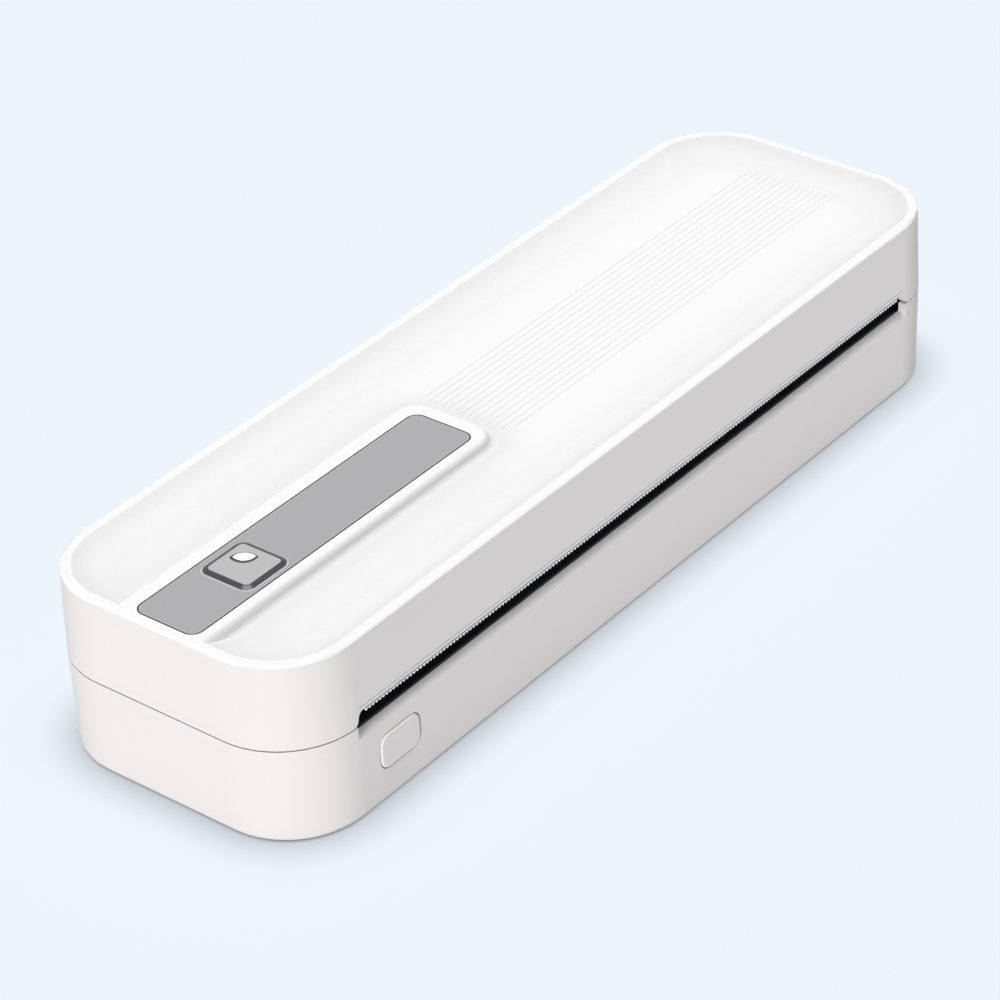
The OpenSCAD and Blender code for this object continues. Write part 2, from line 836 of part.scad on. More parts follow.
module upper_cover() {
    color("white")
        difference() {
            union() {
                difference() {
                    filled(body_l, body_d, corner_r, cover_bottom, body_h) cover_section();
                    filled(body_l, body_d, corner_r, part_z - 1, roof_z) cover_cavity_section();
                    dish_cut();
                    block([-126, -10, roof_z - 1], [pad_end - 3, 10, pad_roof_z]);
                }
                hinge_bead();
                catches();
                for (p = liner_bosses)
                    translate([p[0], p[1], liner_z[1]]) cylinder(r = boss_r, h = roof_z + 0.5 - liner_z[1]);
                for (x = spring_x)
                    translate([x, spring_y, spring_z[1]]) cylinder(r = 4, h = roof_z + 0.5 - spring_z[1]);
                for (s = [-1, 1])
                    translate([button_x + 12.5 * s, button_y, button_board_z + 1.2])
                        cylinder(r = 2.4, h = pad_roof_z + 0.5 - button_board_z - 1.2);
            }
            translate([panel_x(), panel_y, 0])
                slab(panel_l + 0.24, panel_w + 0.24, panel_r + 0.12, body_h - 1.2, body_h + 1);
            translate([button_x, button_y, 0])
                slab(hole_w, hole_w, hole_r, pad_roof_z - 1, body_h);
            notch_cut();
            on_front_wall()
                block([-bar_l / 2 - 0.2, bar_seat[0] - fit, -1], [bar_l / 2 + 0.2, bar_seat[1] + fit, 2.1]);
            for (s = [-1, 1]) {
                rod_at(s * knuckle_x, knuckle_l + 0.6, [hinge_y, hinge_z], bead_r + 0.4);
                rod_at(s * knuckle_x, hinge_pin_l + 0.4, [hinge_y, hinge_z], hinge_pin_r + fit);
            }
            for (p = liner_bosses)
                translate([p[0], p[1], liner_z[1] - 1]) cylinder(r = small_screw_r, h = 8);
            for (s = [-1, 1])
                translate([button_x + 12.5 * s, button_y, button_board_z])
                    cylinder(r = small_screw_r, h = 4.5);
        }
}

function panel_x() = -body_l / 2 + panel_inset + panel_l / 2;

module panel_plate() {
    color("#b2b2b4")
        difference() {
            translate([panel_x(), panel_y, 0]) slab(panel_l, panel_w, panel_r, body_h - 1.2, body_h);
            translate([button_x, button_y, 0]) slab(hole_w, hole_w, hole_r, body_h - 2, body_h + 1);
        }
}

module button_bezel() {
    r = bezel_r;
    color("#46414b")
        translate([button_x, button_y, body_h])
            around(bezel_w, bezel_w, r)
                polygon([
                    [r - 1.25, -4], [r - 0.7, -4], [r - 0.7, 0], [r, 0],
                    [r - 1.1, button_proud], [r - 1.25, button_proud]
                ]);
}

module light_outline(grow) {
    r = (light_l * light_l + light_w * light_w) / (4 * light_w);
    rotate(-52)
        intersection() {
            translate([0, r - light_w / 2]) circle(r + grow);
            translate([0, light_w / 2 - r]) circle(r + grow);
        }
}

module thumb_dish() {
    translate([0, 0, button_proud + thumb_r - thumb_depth]) sphere(thumb_r);
}

module power_button() {
    color("#b9b9bb")
        translate([button_x, button_y, body_h])
            difference() {
                union() {
                    slab(cap_w, cap_w, bezel_r - 1.4, -4.1, button_proud);
                    slab(cap_w + 1, cap_w + 1, hole_r, -5, -4.1);
                    translate([0, 0, -6.5]) cylinder(r = 1.6, h = 2);
                }
                thumb_dish();
                translate([light_at[0], light_at[1], -2.4]) linear_extrude(4) light_outline(0);
            }
}

module power_light() {
    color("#f4f6f8")
        translate([button_x, button_y, body_h])
            difference() {
                translate([light_at[0], light_at[1], -2.4])
                    linear_extrude(2.4 + button_proud) light_outline(-0.12);
                thumb_dish();
            }
}

module button_board() {
    color("#1f5a37")
        translate([button_x, button_y, 0])
            difference() {
                block([-15, -6.5, button_board_z], [15, 6.5, button_board_z + 1.2]);
                for (s = [-1, 1])
                    translate([12.5 * s, 0, button_board_z - 1]) cylinder(r = small_screw_r, h = 3);
            }
    color("#2b2b2e")
        translate([button_x, button_y, button_board_z + 1.2])
            difference() {
                block([-3.2, -3.2, 0], [3.2, 3.2, 1.9]);
                translate([0, 0, 0.6]) cylinder(r = 1.85, h = 2);
            }
}

module cover_liner() {
    window = [-28.5, 2.2];
    ear_x = [-110, -60, 0, 60, 110];
    color("#1c1c1e")
        difference() {
            union() {
                difference() {
                    inside(liner_z[0], liner_z[1], liner_inset);
                    block([-113, window[0], liner_z[0] - 1], [113, window[1], liner_z[1] + 1]);
                }
                for (x = ear_x) {
                    rod(x - 1.5, x + 1.5, pivot, 2.8);
                    block([x - 1.5, pivot[0], liner_z[0]], [x + 1.5, window[1] + 1, liner_z[1]]);
                }
                for (x = [-90 : 30 : 90])
                    block([x - 0.6, window[1] + 2, liner_z[0] - 1.4], [x + 0.6, 33, liner_z[0] + 0.4]);
            }
            for (x = ear_x)
                rod(x - 3, x + 3, pivot, rod_r);
            block([cable_x[0] - 0.8, 26, liner_z[0] - 1], [cable_x[1] + 0.8, 35, liner_z[1] + 1]);
            for (p = liner_bosses)
                translate([p[0], p[1], liner_z[0] - 0.5]) {
                    cylinder(r = small_screw_r, h = 4);
                    cylinder(r = 2, h = 1.5);
                }
        }
}

module tear_bar() {
    count = floor(bar_l / tooth_pitch);
    start = -count * tooth_pitch / 2;
    tip = -1.6;
    teeth = [for (i = [0 : count - 1])
        each [[start + tooth_pitch * i, tip + tooth_h], [start + tooth_pitch * (i + 0.5), tip]]];
    color("silver")
        on_front_wall()
            along_y(bar_seat[0], bar_seat[1])
                polygon(concat(teeth, [[-start, tip + tooth_h], [-start, 2.05], [start, 2.05]]));
}

module cover_screws() {
    color("silver") {
        for (p = liner_bosses)
            translate([p[0], p[1], liner_z[0]]) {
                cylinder(r = 1.9, h = 1);
                cylinder(r = small_screw_r, h = 8);
            }
        for (s = [-1, 1])
            translate([button_x + 12.5 * s, button_y, button_board_z - 1]) {
                cylinder(r = 1.8, h = 1);
                cylinder(r = small_screw_r, h = 5);
            }
    }
}

// ---- Print head ----

module head_pivot_rod() {
    color("silver") rod(-112, 112, pivot, rod_r);
}

module head_springs() {
    color("silver")
        for (x = spring_x)
            translate([x, spring_y, spring_z[0]]) coil(2.4, 0.35, spring_z[1] - spring_z[0], 5);
}

module head_heatsink() {
    color("#c9cbce")
        difference() {
            union() {
                along_x(-head_l / 2, head_l / 2)
                    polygon([
                        [-27, 28.3], [-4.4, 28.3], [-4.4, 31], [-5, 32.3], [-15, 32.3], [-15, 31],
                        [-25.6, 31], [-25.6, 32.3], [-27, 32.3]
                    ]);
                for (x = [-90, -30, 30, 90]) {
                    rod(x - 4, x + 4, pivot, 2.6);
                    block([x - 4, -6, 28.6], [x + 4, pivot[0], 31]);
                }
            }
            for (x = [-90, -30, 30, 90])
                rod(x - 5, x + 5, pivot, rod_r + fit);
        }
}

module head_ceramic() {
    color("#e9e6dc") block([-head_l / 2, -26, 27.3], [head_l / 2, -14, 28.3]);
}

module head_board() {
    color("#1f5a37") block([-121, -14, board_top_z - 1.2], [100, -6, board_top_z]);
    color("#2b2b2e") block([-121, -12, board_top_z], [-114, -7, board_top_z + 1.7]);
}

lower_housing();
front_guide();
paper_deck();
rubber_feet();
base_screws();
main_board();
usb_port();
battery_cells();
stepper_motor();
gear_bracket();
left_bracket();
platen_bushes();
gear_stud();
hinge_pins();
paper_sensor();
head_cable();
release_spring();
platen_shaft();
platen_rubber();
platen_gear();
compound_gear();
motor_shaft();
motor_pinion();
release_button();
latch_bar();
upper_cover();
cover_liner();
panel_plate();
tear_bar();
button_bezel();
button_board();
cover_screws();
head_pivot_rod();
head_springs();
power_button();
power_light();
head_heatsink();
head_ceramic();
head_board();
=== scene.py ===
"""A long, low thermal printer, dressed and lit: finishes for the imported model's pieces, the small
parts that the model leaves plain, and a pale studio round it."""

import math

import bmesh
import bpy
from bpy.props import FloatProperty, FloatVectorProperty, PointerProperty, StringProperty
from mathutils import Matrix, Vector


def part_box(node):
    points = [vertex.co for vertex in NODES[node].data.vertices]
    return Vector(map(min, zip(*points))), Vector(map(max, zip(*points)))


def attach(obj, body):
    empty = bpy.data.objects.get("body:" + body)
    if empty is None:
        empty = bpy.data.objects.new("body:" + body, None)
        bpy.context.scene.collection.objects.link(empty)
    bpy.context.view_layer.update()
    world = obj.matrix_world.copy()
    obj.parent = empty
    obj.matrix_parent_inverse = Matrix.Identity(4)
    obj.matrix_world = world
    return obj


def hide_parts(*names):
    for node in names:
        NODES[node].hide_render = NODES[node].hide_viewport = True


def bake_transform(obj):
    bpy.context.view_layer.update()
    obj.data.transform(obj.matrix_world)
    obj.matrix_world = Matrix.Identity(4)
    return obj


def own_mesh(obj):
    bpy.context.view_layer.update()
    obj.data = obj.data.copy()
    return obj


bl_info = {
    "name": "Thermal printer",
    "version": (1, 0, 0),
    "blender": (4, 5, 0),
    "location": "View3D > Sidebar > Printer",
    "description": "Dresses the packed model of a portable thermal printer and lights it",
    "category": "Object",
}

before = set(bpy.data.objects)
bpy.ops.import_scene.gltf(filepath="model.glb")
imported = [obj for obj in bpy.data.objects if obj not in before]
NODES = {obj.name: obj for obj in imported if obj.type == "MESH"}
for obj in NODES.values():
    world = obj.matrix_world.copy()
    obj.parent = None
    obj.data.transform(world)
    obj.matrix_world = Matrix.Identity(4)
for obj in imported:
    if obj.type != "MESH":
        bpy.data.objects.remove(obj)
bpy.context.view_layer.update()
MM = 0.001

# How close two points lie that are merged, in metres
WELD = 0.001 * MM

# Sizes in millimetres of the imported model's pieces where the small parts meet them
NOTCH_Z = 29.4
FRONT_Y = -40.39
BEZEL_RADIUS = 2.6
PANEL_RADIUS = 3
THUMB_RADIUS, THUMB_DEPTH = 32, 0.4
HEATER_Y = -22.0
BOARD_TOP = 6.2
PIN_PITCH = 1.27


# ---- Sizes and colours ----

class ShellSettings(bpy.types.PropertyGroup):
    white: StringProperty(
        name="White", description="Colour of the moulded shell, sRGB hex", default="F3F2F2")
    grain: FloatProperty(
        name="Grain", description="Size of the mould's fine grain", default=0.45 * MM,
        min=0.1 * MM, max=2 * MM, precision=5, subtype="DISTANCE", unit="LENGTH")
    # Painted shade: how strongly grey is painted into the shell's shallow hollows
    hollow_shade: FloatProperty(
        name="Hollow", description="How strongly the shell's shallow hollows keep a soft grey",
        default=4.0, min=0.0, max=10.0)
    black: StringProperty(
        name="Black", description="Colour of the inner mouldings, sRGB hex", default="1B1B1D")


class ControlSettings(bpy.types.PropertyGroup):
    panel: StringProperty(
        name="Panel", description="Colour of the grey panel, sRGB hex", default="A5A4A5")
    bezel: StringProperty(
        name="Bezel", description="Colour of the button's dark bezel, sRGB hex", default="3A363E")
    cap: StringProperty(
        name="Cap", description="Colour of the satin cap, sRGB hex", default="B6B5B4")
    light: StringProperty(
        name="Light", description="Colour of the lit window, sRGB hex", default="FAFCFD")
    # Painted shade: width of the dark ring in the gap round the panel
    gasket: FloatProperty(
        name="Gasket", description="Width of the dark gasket round the panel", default=0.4 * MM,
        min=0.1 * MM, max=1 * MM, precision=5, subtype="DISTANCE", unit="LENGTH")


class HeadSettings(bpy.types.PropertyGroup):
    glaze: FloatProperty(
        name="Glaze", description="Width of the brown glaze over the heater line", default=1.2 * MM,
        min=0.4 * MM, max=2 * MM, precision=5, subtype="DISTANCE", unit="LENGTH")
    pin: FloatProperty(
        name="Pin", description="Width of a chip's pin", default=0.45 * MM,
        min=0.2 * MM, max=0.8 * MM, precision=5, subtype="DISTANCE", unit="LENGTH")
    recess: FloatProperty(
        name="Recess", description="Length of the cross in a screw's head", default=2.1 * MM,
        min=1 * MM, max=3 * MM, precision=5, subtype="DISTANCE", unit="LENGTH")


class StageSettings(bpy.types.PropertyGroup):
    floor: StringProperty(
        name="Floor", description="Colour of the floor and backdrop, sRGB hex", default="ECF3FB")
    glow: FloatProperty(
        name="Glow", description="Share of the floor's seen colour that only close contact darkens",
        default=0.85)
    level: FloatProperty(
        name="Level", description="How brightly the lamps and the world light a level surface",
        default=1.08)
    bounce: FloatProperty(
        name="Bounce", description="Grey of the floor as the light that it sends back sees it",
        default=0.5)
    azimuth: FloatProperty(
        name="Azimuth", description="Camera's turn about the printer", subtype="ANGLE",
        default=math.radians(-50.239))
    elevation: FloatProperty(
        name="Elevation", description="Camera's height above the horizon", subtype="ANGLE",
        default=math.radians(33.38))
    roll: FloatProperty(
        name="Roll", description="Camera's roll about its axis", subtype="ANGLE",
        default=math.radians(-3.025))
    distance: FloatProperty(
        name="Distance", description="Camera's distance", default=0.921938, unit="LENGTH")
    aside: FloatVectorProperty(
        name="Aside", description="Camera's offset to its right and up", size=2,
        default=(-0.006401, 0.008607), subtype="XYZ", unit="LENGTH")
    lens: FloatProperty(
        name="Lens", description="Focal length on a 36 mm sensor, in millimetres", default=132.35)
    ambient: FloatProperty(
        name="Ambient", description="Strength of the even light from all round", default=0.12)
    key: FloatProperty(
        name="Key", description="Strength of the broad light from above", default=3.08)
    fill: FloatProperty(
        name="Fill", description="Strength of the low light from the left", default=1.883)
    front: FloatProperty(
        name="Front", description="Strength of the low light from the front", default=0.3)
    back: FloatProperty(
        name="Back", description="Strength of the low light from the back right", default=1.3)


# ---- Nodes and colours ----

def linear(hex_colour):
    """An sRGB hex colour as linear RGBA."""
    levels = [int(hex_colour[i:i + 2], 16) / 255 for i in (0, 2, 4)]
    return (*[v / 12.92 if v <= 0.04045 else ((v + 0.055) / 1.055) ** 2.4 for v in levels], 1.0)


def add(tree, kind, inputs=None, **settings):
    """Adds a node with its settings. A socket among the inputs is linked, and anything else is
    the input's value."""
    made = tree.nodes.new(kind)
    for name, value in settings.items():
        setattr(made, name, value)
    for name, value in (inputs or {}).items():
        if isinstance(value, bpy.types.NodeSocket):
            tree.links.new(value, made.inputs[name])
        else:
            made.inputs[name].default_value = value
    return made


def new_material(name):
    """A material without nodes, and its node tree."""
    made = bpy.data.materials.new(name)
    made.use_nodes = True
    made.node_tree.nodes.clear()
    return made, made.node_tree


def close(tree, shader):
    """Ends a material with its shader."""
    add(tree, "ShaderNodeOutputMaterial", {"Surface": shader.outputs[0]})


def grained(name, colour, grain, roughness, depth, spread=0.06, tint=0.03, hollow_shade=0, **sockets):
    """A moulded or blasted surface: an even colour with a fine grain in its relief and gloss. Where
    hollow_shade is above 0, shade is painted into its colour: it is greyer the closer its own walls
    stand, and a larger number reaches the full painted grey in shallower hollows."""
    made, tree = new_material(name)
    place = add(tree, "ShaderNodeTexCoord")
    speckle = add(tree, "ShaderNodeTexNoise", {
        "Vector": place.outputs["Object"], "Scale": 1 / grain, "Detail": 3.0, "Roughness": 0.6})
    broad = add(tree, "ShaderNodeTexNoise", {
        "Vector": place.outputs["Object"], "Scale": 1 / (60 * MM), "Detail": 2.0})
    gloss = add(tree, "ShaderNodeMapRange", {
        "Value": speckle.outputs["Fac"], "From Min": 0.3, "From Max": 0.7,
        "To Min": roughness - spread, "To Max": roughness + spread})
    deep = tuple(v * (1 - tint) for v in linear(colour)[:3]) + (1.0,)
    shade = add(tree, "ShaderNodeMix", {
        "Factor": broad.outputs["Fac"], "A": linear(colour), "B": deep}, data_type="RGBA")
    if hollow_shade:
        near = add(tree, "ShaderNodeAmbientOcclusion", {"Distance": 16 * MM},
                   samples=32, only_local=True)
        # Painted shade: the share of its colour that the surface loses at most in its hollows
        darkest = 0.13
        soft = add(tree, "ShaderNodeMapRange", {
            "Value": near.outputs["AO"], "From Min": 1 - darkest / hollow_shade, "From Max": 1.0,
            "To Min": 1 - darkest, "To Max": 1.0})
        shade = add(tree, "ShaderNodeMix", {
            "Factor": 1.0, "A": shade.outputs["Result"], "B": soft.outputs["Result"]},
            data_type="RGBA", blend_type="MULTIPLY")
    relief = add(tree, "ShaderNodeBump", {
        "Height": speckle.outputs["Fac"], "Strength": 0.35, "Distance": depth})
    skin = add(tree, "ShaderNodeBsdfPrincipled", {
        "Base Color": shade.outputs["Result"], "Roughness": gloss.outputs["Result"],
        "Normal": relief.outputs["Normal"], **sockets})
    close(tree, skin)
    return made


def brushed(name, colour, along, line, roughness, depth=0.01 * MM):
    """A drawn, ground or rolled metal: fine lines along one axis in its relief and gloss."""
    made, tree = new_material(name)
    place = add(tree, "ShaderNodeTexCoord")
    scale = [1 / line] * 3
    scale[along] = 1 / (60 * line)
    stretched = add(tree, "ShaderNodeMapping", {"Vector": place.outputs["Object"], "Scale": scale})
    lines = add(tree, "ShaderNodeTexNoise", {
        "Vector": stretched.outputs["Vector"], "Scale": 1.0, "Detail": 4.0, "Roughness": 0.65})
    gloss = add(tree, "ShaderNodeMapRange", {
        "Value": lines.outputs["Fac"], "From Min": 0.3, "From Max": 0.7,
        "To Min": roughness * 0.7, "To Max": roughness * 1.35})
    relief = add(tree, "ShaderNodeBump", {
        "Height": lines.outputs["Fac"], "Strength": 0.3, "Distance": depth})
    skin = add(tree, "ShaderNodeBsdfPrincipled", {
        "Base Color": linear(colour), "Metallic": 1.0, "Roughness": gloss.outputs["Result"],
        "Normal": relief.outputs["Normal"]})
    close(tree, skin)
    return made


def striped(name, colour, line_colour, pitch, roughness):
    """A laminated film with flat conductors that show through as stripes across X."""
    made, tree = new_material(name)
    place = add(tree, "ShaderNodeTexCoord")
    across = add(tree, "ShaderNodeSeparateXYZ", {"Vector": place.outputs["Object"]})
    phase = add(tree, "ShaderNodeMath", {
        0: across.outputs["X"], 1: 2 * math.pi / pitch}, operation="MULTIPLY")
    wave = add(tree, "ShaderNodeMath", {0: phase.outputs[0]}, operation="SINE")
    share = add(tree, "ShaderNodeMapRange", {
        "Value": wave.outputs[0], "From Min": -0.2, "From Max": 0.2})
    shade = add(tree, "ShaderNodeMix", {
        "Factor": share.outputs["Result"], "A": linear(colour), "B": linear(line_colour)},
        data_type="RGBA")
    relief = add(tree, "ShaderNodeBump", {
        "Height": share.outputs["Result"], "Strength": 0.4, "Distance": 0.03 * MM})
    skin = add(tree, "ShaderNodeBsdfPrincipled", {
        "Base Color": shade.outputs["Result"], "Roughness": roughness,
        "Normal": relief.outputs["Normal"]})
    close(tree, skin)
    return made


# ---- Making pieces ----

def placed(name, data):
    """A new object in the scene."""
    made = bpy.data.objects.new(name, data)
    bpy.context.collection.objects.link(made)
    return made


def weld(mesh, outwards):
    """Merges a mesh's doubled points and, where that is asked, turns its faces outwards."""
    work = bmesh.new()
    work.from_mesh(mesh)
    bmesh.ops.remove_doubles(work, verts=work.verts, dist=WELD)
    if outwards:
        bmesh.ops.recalc_face_normals(work, faces=work.faces)
    work.to_mesh(mesh)
    work.free()


def piece(name, body, material, points, faces, smooth=False):
    """A mesh from points in millimetres, which rides on a body unless it has none yet."""
    mesh = bpy.data.meshes.new(name)
    mesh.from_pydata([Vector(point) * MM for point in points], [], faces)
    weld(mesh, outwards=True)
    mesh.materials.append(material)
    for face in mesh.polygons:
        face.use_smooth = smooth
    made = placed(name, mesh)
    if body:
        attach(made, body)
    return made


def rounded_outline(centre, size, radius, steps=8):
    """A rounded rectangle as (x, y, out_x, out_y): where the outline runs and which way is out."""
    made = []
    for x, y, start in ((1, 1, 0), (-1, 1, 90), (-1, -1, 180), (1, -1, 270)):
        for step in range(steps + 1):
            a = math.radians(start + 90 * step / steps)
            out = (math.cos(a), math.sin(a))
            made.append((centre[0] + x * (size[0] / 2 - radius) + radius * out[0],
                         centre[1] + y * (size[1] / 2 - radius) + radius * out[1], *out))
    return made


def leaf_outline(centre, length, width, turn, steps=16):
    """The window's leaf, which two arcs bound, in the form of rounded_outline."""
    radius = (length ** 2 + width ** 2) / (4 * width)
    half = math.asin(length / 2 / radius)
    made = []
    for side in (0, math.pi):
        for step in range(steps + 1):
            a = half - 2 * half * step / steps + math.pi / 2
            x, y = radius * math.cos(a), radius * math.sin(a) - radius + width / 2
            tilt = side + math.radians(turn)
            out = (math.cos(a + tilt), math.sin(a + tilt))
            made.append((centre[0] + x * math.cos(tilt) - y * math.sin(tilt),
                         centre[1] + x * math.sin(tilt) + y * math.cos(tilt), *out))
    return made


def trim_ring(name, body, material, outline, section, lift=None):
    """A closed band round an outline. Each point of its section says how far out it lies, its
    height and, for a band that is wider on one side, its shift along X and Y."""
    points = []
    for out, z, *shift in section:
        dx, dy = shift or (0, 0)
        for x, y, out_x, out_y in outline:
            at = (x + out * out_x + dx, y + out * out_y + dy)
            points.append((*at, z + (lift(*at) if lift else 0)))
    count, rings = len(outline), len(section)
    faces = [
        (ring * count + i, ring * count + (i + 1) % count,
         (ring + 1) % rings * count + (i + 1) % count, (ring + 1) % rings * count + i)
        for ring in range(rings) for i in range(count)]
    return piece(name, body, material, points, faces, smooth=True)


def strip(name, body, material, x0, x1, section):
    """A bar along X with a section of (y, z) points."""
    count = len(section)
    points = [(x, y, z) for x in (x0, x1) for y, z in section]
    faces = [(i, (i + 1) % count, count + (i + 1) % count, count + i) for i in range(count)]
    faces += [tuple(range(count)), tuple(range(count, 2 * count))]
    return piece(name, body, material, points, faces)


def arc(centre, radius, start, end, steps):
    """Points on an arc, its angles in degrees."""
    angles = [math.radians(start + (end - start) * i / steps) for i in range(steps + 1)]
    return [(centre[0] + radius * math.cos(a), centre[1] + radius * math.sin(a)) for a in angles]


def ribbon(name, material, x0, x1, route, thick):
    """A flat band across X along a route of (y, z) points, with a row of points for about every
    millimetre, so that it can bend."""
    fine = []
    for (y, z), (next_y, next_z) in zip(route, route[1:]):
        steps = max(1, math.ceil(math.hypot(next_y - y, next_z - z)))
        fine += [(y + (next_y - y) * i / steps, z + (next_z - z) * i / steps) for i in range(steps)]
    fine.append(route[-1])
    points = []
    for i, (y, z) in enumerate(fine):
        before, after = fine[max(i - 1, 0)], fine[min(i + 1, len(fine) - 1)]
        dy, dz = after[0] - before[0], after[1] - before[1]
        half = thick / 2 / math.hypot(dy, dz)
        for x, side in ((x0, 1), (x1, 1), (x1, -1), (x0, -1)):
            points.append((x, y - side * dz * half, z + side * dy * half))
    faces = [(4 * i + k, 4 * i + (k + 1) % 4, 4 * i + 4 + (k + 1) % 4, 4 * i + 4 + k)
             for i in range(len(fine) - 1) for k in range(4)]
    faces += [(0, 1, 2, 3), tuple(range(len(points) - 4, len(points)))]
    return piece(name, None, material, points, faces)


def springy(name, node, body, material):
    """A coil spring in place of its CAD node, which rides on a body."""
    mesh = NODES[node].data.copy()
    weld(mesh, outwards=False)
    mesh.materials.clear()
    mesh.materials.append(material)
    made = placed(name, mesh)
    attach(made, body)
    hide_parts(node)
    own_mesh(made)


def repeated(name, body, material, places, shape, sizes, turn=(0.0, 0.0, 0.0)):
    """Copies of a small shape at places in millimetres. Geometry Nodes make them, and the result
    is kept as a plain mesh."""
    tree = bpy.data.node_groups.new(name, "GeometryNodeTree")
    tree.interface.new_socket("Places", in_out="INPUT", socket_type="NodeSocketGeometry")
    inputs = {title: tree.interface.new_socket(title, in_out="INPUT", socket_type="NodeSocketFloat")
              for title in sizes}
    inputs["Turn"] = tree.interface.new_socket(
        "Turn", in_out="INPUT", socket_type="NodeSocketRotation")
    tree.interface.new_socket("Copies", in_out="OUTPUT", socket_type="NodeSocketGeometry")
    given = add(tree, "NodeGroupInput")
    copies = add(tree, "GeometryNodeInstanceOnPoints", {
        "Points": given.outputs["Places"], "Instance": shape(tree, given.outputs),
        "Rotation": given.outputs["Turn"]})
    real = add(tree, "GeometryNodeRealizeInstances", {"Geometry": copies.outputs["Instances"]})
    painted = add(tree, "GeometryNodeSetMaterial", {
        "Geometry": real.outputs["Geometry"], "Material": material})
    add(tree, "NodeGroupOutput", {"Copies": painted.outputs["Geometry"]})

    mesh = bpy.data.meshes.new(name)
    mesh.from_pydata([Vector(place) * MM for place in places], [], [])
    made = placed(name, mesh)
    copier = made.modifiers.new("copies", "NODES")
    copier.node_group = tree
    for title, value in {**sizes, "Turn": turn}.items():
        copier[inputs[title].identifier] = value
    seen = made.evaluated_get(bpy.context.evaluated_depsgraph_get())
    made.data = bpy.data.meshes.new_from_object(seen)
    made.data.name = name
    made.modifiers.remove(copier)
    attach(made, body)


def block_shape(tree, given):
    """A small block with its named length, width and height."""
    size = add(tree, "ShaderNodeCombineXYZ", {
        "X": given["Length"], "Y": given["Width"], "Z": given["Height"]})
    return add(tree, "GeometryNodeMeshCube", {"Size": size.outputs[0]}).outputs["Mesh"]


def bead_shape(tree, given):
    """A round bead that stands a little proud, such as the ring that an ejector pin leaves."""
    path = add(tree, "GeometryNodeCurvePrimitiveCircle", {
        "Resolution": 20, "Radius": given["Radius"]})
    section = add(tree, "GeometryNodeCurvePrimitiveCircle", {
        "Resolution": 6, "Radius": given["Bead"]})
    return add(tree, "GeometryNodeCurveToMesh", {
        "Curve": path.outputs["Curve"], "Profile Curve": section.outputs["Curve"]}).outputs["Mesh"]


def cross_head_shape(tree, given):
    """A low pan head with a cross recess cut into it."""
    head = add(tree, "GeometryNodeMeshCone", {
        "Vertices": 20, "Radius Top": given["Crown"], "Radius Bottom": given["Radius"],
        "Depth": given["Height"]})
    along_x = add(tree, "ShaderNodeCombineXYZ", {
        "X": given["Recess"], "Y": given["Slot"], "Z": given["Height"]})
    along_y = add(tree, "ShaderNodeCombineXYZ", {
        "X": given["Slot"], "Y": given["Recess"], "Z": given["Height"]})
    lift = add(tree, "ShaderNodeMath", {0: given["Height"], 1: 0.75}, operation="MULTIPLY")
    up = add(tree, "ShaderNodeCombineXYZ", {"Z": lift.outputs[0]})
    solid = head.outputs["Mesh"]
    for way in (along_x, along_y):
        bar = add(tree, "GeometryNodeMeshCube", {"Size": way.outputs[0]})
        raised = add(tree, "GeometryNodeTransform", {
            "Geometry": bar.outputs["Mesh"], "Translation": up.outputs[0]})
        cut = add(tree, "GeometryNodeMeshBoolean", {"Mesh 1": solid}, operation="DIFFERENCE")
        tree.links.new(raised.outputs["Geometry"], cut.inputs["Mesh 2"])
        solid = cut.outputs["Mesh"]
    return solid


def dress(material, *names):
    """Gives CAD nodes a finish."""
    for name in names:
        finishes = NODES[name].data.materials
        finishes.clear()
        finishes.append(material)


def extent(node):
    """A CAD node's middle and size in millimetres."""
    low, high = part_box(node)
    return (low + high) / 2 / MM, (high - low) / MM


# ---- Finishes ----

def white_abs(shell):
    # Injection-moulded ABS from a spark-eroded mould: an even white with a soft, matte sheen, and
    # shade painted into its hollows
    return grained("moulded_abs_white_hollow_shade", shell.white, shell.grain, 0.62, 0.02 * MM, tint=0.015,
                   hollow_shade=shell.hollow_shade, IOR=1.24)


def black_abs(shell):
    # The same plastic in black, with a coarser mould grain, so that it takes a grey sheen
    return grained("moulded_abs_black", shell.black, 0.6 * MM, 0.5, 0.03 * MM, IOR=1.53)


def panel_film(controls):
    # A printed polyester overlay: mid grey with a fine speckle and a low, even gloss
    return grained("printed_overlay_grey", controls.panel, 0.5 * MM, 0.46, 0.008 * MM, tint=0.05,
                   IOR=1.45)


def bezel_lacquer(controls):
    # Dark lacquered ABS: nearly black violet grey with a clear gloss on its slopes
    return grained("lacquered_abs_dark", controls.bezel, 0.7 * MM, 0.24, 0.004 * MM, spread=0.03,
                   IOR=1.5)


def cap_paint(controls):
    # Satin silver paint on ABS: fine flakes give a soft metallic sheen without a mirror
    return grained("satin_silver_paint", controls.cap, 0.4 * MM, 0.42, 0.006 * MM, Metallic=0.1)


def light_window(controls):
    # A milky polycarbonate light pipe: white and glossy, faintly lit from below
    return grained("polycarbonate_light_pipe", controls.light, 1 * MM, 0.12, 0.002 * MM,
                   spread=0.02, IOR=1.58,
                   **{"Emission Color": linear(controls.light), "Emission Strength": 0.25})


def silicone(name, colour):
    # Ground silicone rubber: dead matt black with a faint bloom
    return grained(name, colour, 0.3 * MM, 0.72, 0.02 * MM, IOR=1.41)


# ---- Operators ----

class PRINTER_OT_shell(bpy.types.Operator):
    """Finishes the white shell and its feet"""
    bl_idname = "printer.shell"
    bl_label = "Shell"

    def execute(self, context):
        shell = context.scene.printer_shell
        dress(white_abs(shell), "lower_housing", "upper_cover", "release_button")
        dress(silicone("moulded_rubber_feet", "3A3A3D"), "rubber_feet")
        return {"FINISHED"}


